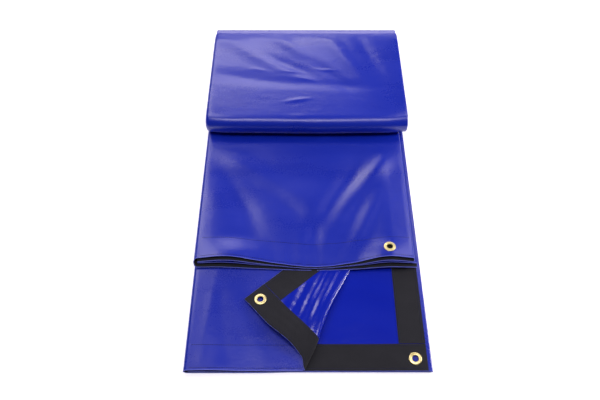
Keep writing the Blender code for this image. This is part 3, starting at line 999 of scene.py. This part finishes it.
# %% [markdown]
# ## Hem webbing
# One black tape, 50 mm wide, is sewn along each edge of the sheet, on its glossy side. Along the
# front hems it goes round the folds with the cloth, so it is the ribbon again, moved sideways by
# half of both thicknesses. Along the side hems it follows leaves 1 and 2 for the strip's length.

# %% Webbing
def tape(name, points, flip=False, flat=None, holes=()):
    piece = cloth_grid(name, points, [WEB], flip, WEB_THICK, flat, holes)
    return piece


def rows_within(ys, end):
    return [y for y in ys if y < end - 0.002] + [end]


def shifted(points, side):
    moved = np.array(points, float)
    moved[..., 2] += side * WEB_OFF
    return moved


def hem_across(name, ys, cut_at, holes, tongue_part=0.0):
    """The tape along a front hem, offset after settling; where the cloth curls it grazes the cloth."""
    plain = settle(strip_rows(ys, cut_at), tongue_part)
    ahead = settle(strip_rows(ys, lambda y: cut_at(y, 0.0005)), tongue_part)
    way = ahead - plain
    way /= np.linalg.norm(way, axis=2)[..., None]
    flat = strip_rows(ys, cut_at)
    return tape(name, plain + way * WEB_OFF, False, flat, holes)


lower_hem_ys = rows_within(LOWER_ROWS, FRONT + WEB_WIDTH)
lower_hem = hem_across("lower_hem_webbing", lower_hem_ys, lower_cut, [CORNER_HOLE])
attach(lower_hem, "base")
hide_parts("lower_hem_1", "lower_hem_2_front", "lower_hem_3", "lower_hem_4")
tongue_hem_ys = rows_within(TONGUE_ROWS, TONGUE_FRONT + WEB_WIDTH)
tongue_hem = hem_across("tongue_hem_webbing", tongue_hem_ys, tongue_cut, [TONGUE_HOLE], 1.0)
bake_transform(tongue_hem)
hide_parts(*["tongue_hem_%d" % n for n in (1, 2, 3, 4)])


def side_tape(name, ys, z, side, tongue_part=0.0):
    """The tape along a side hem of a flat leaf, on its upper side, 1, or its lower, -1."""
    xs = list(np.linspace(FREE_EDGE - WEB_WIDTH, FREE_EDGE, 12))
    return tape(name, shifted(settle([[(x, y, z) for x in xs] for y in ys], tongue_part), side))


SIDE_START = FRONT + WEB_WIDTH + 0.0008
side_ys = [SIDE_START] + [y for y in LOWER_ROWS if y > SIDE_START + 0.004]
leaf_2_side = side_tape("lower_side_webbing", side_ys, LOWER_Z[2], 1.0)
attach(leaf_2_side, "base")
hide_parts("lower_hem_2_side")
under_ys = [y for y in LOWER_ROWS if crease_point(y) > FREE_EDGE + 0.001]
leaf_1_side = side_tape("upper_side_webbing", under_ys, LOWER_Z[3], -1.0)
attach(leaf_1_side, "base")
tongue_side_ys = [TONGUE_FRONT + WEB_WIDTH + 0.0008]
tongue_side_ys += [y for y in TONGUE_ROWS if y > TONGUE_FRONT + WEB_WIDTH + 0.005]
tongue_sides = [
    side_tape("tongue_side_webbing_lower", tongue_side_ys, TONGUE_Z[0], 1.0, 1.0),
    side_tape("tongue_side_webbing_upper", tongue_side_ys, TONGUE_Z[1], -1.0, 1.0),
]
for piece in tongue_sides:
    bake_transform(piece)


def packet_tape(name, n, side):
    xs = np.linspace(FREE_EDGE - WEB_WIDTH, FREE_EDGE, 8)
    return tape(name, packet_rows([(x, n + side * WEB_OFF) for x in xs]))


packet_tapes = [
    packet_tape("packet_webbing_inner", PACKET_N[3], 1.0),
    packet_tape("packet_webbing_outer", PACKET_N[2], -1.0),
]
for piece in packet_tapes:
    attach(piece, "packet")
for index, side in ((2, -1.0), (3, 1.0), (4, -1.0), (5, 1.0)):
    low_z, high_z = (LOWER_Z + TONGUE_Z)[index], (UPPER_Z + INNER_Z)[index]
    xs = np.linspace(FREE_EDGE - WEB_WIDTH, FREE_EDGE, 8)
    piece = tape(BEND_NAMES[index] + "_webbing", bend_rows(low_z, high_z, xs, side * WEB_OFF))
    bend_blend(piece, high_z)


# %% [markdown]
# ## Webbing on the turned corner
# On the flap both tapes lie on top. The side hem's tape butts against the front hem's, which
# runs round the roll and on under the leaf.

# %% Webbing on the turned corner
def front_band(a):
    end = min(WEB_WIDTH, flap_end(a) - 0.0004)
    return list(np.linspace(0.0, end, 25))


def side_band(a):
    end = flap_end(a) - 0.002
    return list(np.linspace(WEB_WIDTH + 0.0008, end, 60))


band_points, band_flat = flap_grid(across_tip(FAR_A), front_band, WEB_OFF)
corner_front = tape("corner_hem_webbing_front", band_points, False, band_flat, [TIP_HOLE])
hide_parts("corner_hem_front", "tip_hem_front")
side_points, side_flat = flap_grid(list(np.linspace(0.0, WEB_WIDTH, 14)), side_band, WEB_OFF)
corner_side = tape("corner_hem_webbing_side", side_points)
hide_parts("corner_hem_side", "tip_hem_side")
for piece in (corner_front, corner_side):
    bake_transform(piece)


# %% [markdown]
# ## Stitches
# The rows run 3 mm inside the webbing's inner edge and 4 mm inside the cut edge. On the satin
# side they are all that shows of the hem. The same rows are laid on the webbing where it shows.

# %% Stitches
INNER_ROW = WEB_WIDTH - 0.003
EDGE_ROW = 0.004


def lines_on(z, up, rows, out, tongue_part=0.0):
    """Stitch lines on a flat leaf: each row is a list of (x, y)."""
    found = []
    for row in rows:
        points = settle([(x, y, z) for x, y in row], tongue_part)
        points[:, 2] += up * out
        found.append(points)
    return found


def across(start, end, y):
    return [(x, y) for x in np.linspace(start, end, 120)]


def along_strip(x, start, end):
    return [(x, y) for y in np.linspace(start, end, 160)]


ON_CLOTH = CLOTH / 2 + 0.00005
ON_WEB = WEB_OFF + WEB_THICK / 2 + 0.00005
STRAIGHT = LEFT + 0.016
tongue_stitches = stitches("tongue_stitches", lines_on(
    TONGUE_Z[3], 1.0,
    [across(STRAIGHT - 0.004, TONGUE_FOLD - 0.004, TONGUE_FRONT + d) for d in (INNER_ROW, EDGE_ROW)], ON_CLOTH, 1.0))
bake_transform(tongue_stitches)
lower_stitches = stitches("lower_stitches", lines_on(
    LOWER_Z[3], 1.0,
    [across(STRAIGHT - 0.006, crease_x(FRONT + d) - 0.004, FRONT + d) for d in (INNER_ROW, EDGE_ROW)], ON_CLOTH))
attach(lower_stitches, "base")
leaf_2_rows = [across(-0.06, FREE_EDGE - EDGE_ROW, FRONT + d) for d in (INNER_ROW, EDGE_ROW)]
side_from, side_to = FRONT + WEB_WIDTH + 0.003, TONGUE_FRONT + 0.06
leaf_2_rows += [along_strip(FREE_EDGE - d, side_from, side_to) for d in (INNER_ROW, EDGE_ROW)]
webbing_stitches = stitches("webbing_stitches", lines_on(LOWER_Z[2], 1.0, leaf_2_rows, ON_WEB))
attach(webbing_stitches, "base")


def flap_line(start, end, count=150):
    (a0, b0), (a1, b1) = start, end
    steps = np.linspace(0.0, 1.0, count)
    return settle([flap_point(a0 + (a1 - a0) * t, b0 + (b1 - b0) * t, ON_WEB) for t in steps])


flap_stitches = stitches("corner_stitches", [
    flap_line((0.004, EDGE_ROW), (REACH - 0.004, EDGE_ROW)),
    flap_line((EDGE_ROW, 0.012), (EDGE_ROW, 0.30)),
    flap_line((0.012, INNER_ROW), (REACH - 0.026, INNER_ROW)),
    flap_line((INNER_ROW, INNER_ROW + 0.006), (INNER_ROW, 0.30)),
])
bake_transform(flap_stitches)


# %% [markdown]
# ## Cut edges
# The sheet's cut edges are sealed, so each shows as a fine bead; its paler blue is a painted
# highlight, where the edge catches the light. The front edge of each tier is one line that goes
# round all the folds, so it is the ribbon's own first row. On the turned corner the bead follows
# the front hem and the side hem.

# %% Cut edges
def front_edge(name, rows, tongue_part=0.0):
    line = settle(rows[0], tongue_part)
    line[:, 1] -= 0.0002
    piece = bead(name, line)
    return piece


lower_bead = front_edge("lower_cut_edge", lower_flat)
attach(lower_bead, "base")
tongue_bead = front_edge("tongue_cut_edge", tongue_flat, 1.0)
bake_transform(tongue_bead)
flap_line_points = [flap_point(0.0, b) for b in np.linspace(flap_end(0.0) - 0.004, 0.0, 90)]
flap_line_points += [flap_point(a, 0.0) for a in np.linspace(0.002, FAR_A, 90)]
flap_bead = bead("corner_cut_edge", settle(flap_line_points))
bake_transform(flap_bead)


# %% [markdown]
# ## Grommets
# Each grommet sits where the settled cloth is, and leans with it. Its place and its two
# directions come from the same functions as the cloth, read at the hole and just beside it.

# %% Grommets
def leaf_frame(hole, tongue_part=0.0):
    """The middle and two directions of the settled leaf at a hole."""
    x, y, z = hole
    here, right, back = settle([(x, y, z), (x + 0.004, y, z), (x, y + 0.004, z)], tongue_part)
    return Vector(here), Vector(right - here), Vector(back - here)


def seat(name, centre, x_way, y_way, top_side, under_side):
    """A grommet through cloth and webbing, of which top_side lies above the cloth's middle."""
    up = Vector(x_way).cross(Vector(y_way)).normalized()
    ring = turned_ring(name, FLANGE, Vector(centre) + up * top_side, x_way, y_way, top_side + under_side)
    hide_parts(name + "_eyelet", name + "_washer")
    return ring


THIN, THICK = CLOTH / 2 + 0.0001, WEB_OFF + WEB_THICK / 2 + 0.0001
corner_ring = seat("corner_grommet", *leaf_frame(CORNER_HOLE), THICK, THIN)
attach(corner_ring, "base")
tongue_ring = seat("tongue_grommet", *leaf_frame(TONGUE_HOLE, 1.0), THIN, THICK)
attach(tongue_ring, "tongue")
tip_here, tip_a, tip_b = [Vector(p) for p in settle([
    flap_point(CORNER_INSET, CORNER_INSET), flap_point(CORNER_INSET - 0.004, CORNER_INSET),
    flap_point(CORNER_INSET, CORNER_INSET + 0.004)])]
tip_ring = seat("tip_grommet", tip_here, tip_b - tip_here, tip_a - tip_here, THICK, THIN)
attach(tip_ring, "corner_tip")


# %% [markdown]
# ## The sheet's sizes
# The curtain is one sheet, so each cloth piece here is a share of it, and its flat size would be
# the strip's width unfolded, by the length of the strip that the piece covers. Only the unfolded
# width and the packet's length are worked out here.

# %% Sheets
def length_of(points):
    return float(np.sum(np.linalg.norm(np.diff(np.array(points, float), axis=0), axis=1)))


STRIP = length_of(lower_cut(REAR))
print("unfolded width of the sheet", round(STRIP, 3))
MID_LAYER = OUTER * 0.6
packet_length = length_of([
    (0.0, y + MID_LAYER * math.cos(math.radians(d)), MID_LAYER * math.sin(math.radians(d)))
    for y, d in packet_path()
])
for index, bend in enumerate(rear_bends):
    low_z, high_z = (LOWER_Z + TONGUE_Z)[index], (UPPER_Z + INNER_Z)[index]
    arc = length_of(bend_rows(low_z, high_z, [0.0])[:, 0, :])
print("packet length", round(packet_length, 3))

# %% [markdown]
# ## Floor and light
# The bundle lies on a plain white floor, inside a white dome that only the camera sees. A
# softbox overhead lights the packet's front fold, and one low behind it brightens the bend at
# the rear. One at the rear left lights the packet's top, one on each side catches the folds and
# the turned corner, and a key from the right casts the shadows. They are faintly warm, so
# that the highlights on the blue turn lavender.

# %% Floor and lights
LAMP_TINT = (1.0, 0.91, 0.95)


def stage_piece(name, bm, colour, glow, **shader):
    """A plain white thing that isn't part of the object."""
    mesh = bpy.data.meshes.new(name)
    bm.to_mesh(mesh)
    bm.free()
    piece = bpy.data.objects.new(name, mesh)
    white = (1.0, 1.0, 1.0, 1.0)
    base = (colour, colour, colour, 1.0)
    finish = Finish(name + "_white")
    shader.update(Base_Color=base, Emission_Color=white, Emission_Strength=glow)
    mesh.materials.append(finish.surface(**shader))
    bpy.context.scene.collection.objects.link(piece)
    return piece


def plain_floor():
    bm = bmesh.new()
    bmesh.ops.create_grid(bm, x_segments=1, y_segments=1, size=12.0)
    floor = stage_piece("floor", bm, 0.95, 0.5, Roughness=0.9, Specular_IOR_Level=0.1)
    floor.location = (0.0, 0.0, -0.0005)


def plain_backdrop():
    """A white dome that only the camera sees, so it adds no light of its own."""
    bm = bmesh.new()
    bmesh.ops.create_uvsphere(bm, u_segments=48, v_segments=24, radius=11.5)
    dome = stage_piece("backdrop", bm, 0.0, 0.9, Roughness=1.0, Specular_IOR_Level=0.0)
    dome.visible_diffuse = dome.visible_glossy = dome.visible_shadow = False


def softbox(name, azimuth, elevation, distance, width, height, power):
    """A rectangular lamp that faces the bundle, from an azimuth behind it, 0, and to its right, 90."""
    a, e = math.radians(azimuth), math.radians(elevation)
    where = Vector((math.sin(a) * math.cos(e), math.cos(a) * math.cos(e), math.sin(e))) * distance
    data = bpy.data.lights.new(name, "AREA")
    data.shape = "RECTANGLE"
    data.size = width
    data.size_y = height
    data.energy = power
    data.color = LAMP_TINT
    lamp = bpy.data.objects.new(name, data)
    lamp.location = where
    lamp.rotation_euler = (-where).to_track_quat("-Z", "Y").to_euler()
    bpy.context.scene.collection.objects.link(lamp)
    return lamp


plain_floor()
plain_backdrop()
LAMPS = [                         # azimuth, elevation, distance, width, height, power
    ("overhead_softbox", 180.0, 80.0, 2.2, 2.0, 0.5, 23.0),
    ("rear_low_softbox", 14.0, 12.0, 2.5, 2.8, 0.6, 12.0),
    ("rear_left_softbox", -17.0, 35.0, 2.4, 1.7, 0.6, 15.0),
    ("left_softbox", -46.0, 54.0, 2.2, 0.9, 0.7, 9.0),
    ("right_softbox", 48.0, 48.0, 2.2, 0.6, 0.8, 6.0),
    ("right_key", 86.0, 23.0, 2.4, 0.5, 0.7, 27.0),
]
for lamp in LAMPS:
    softbox(*lamp)
world = bpy.data.worlds.new("studio")
world.use_nodes = True
sky = world.node_tree.nodes["Background"]
sky.inputs["Color"].default_value = (1.0, 1.0, 1.0, 1.0)
sky.inputs["Strength"].default_value = 0.05
bpy.context.scene.world = world
bpy.context.scene.view_settings.view_transform = "Standard"
print("lights ready")
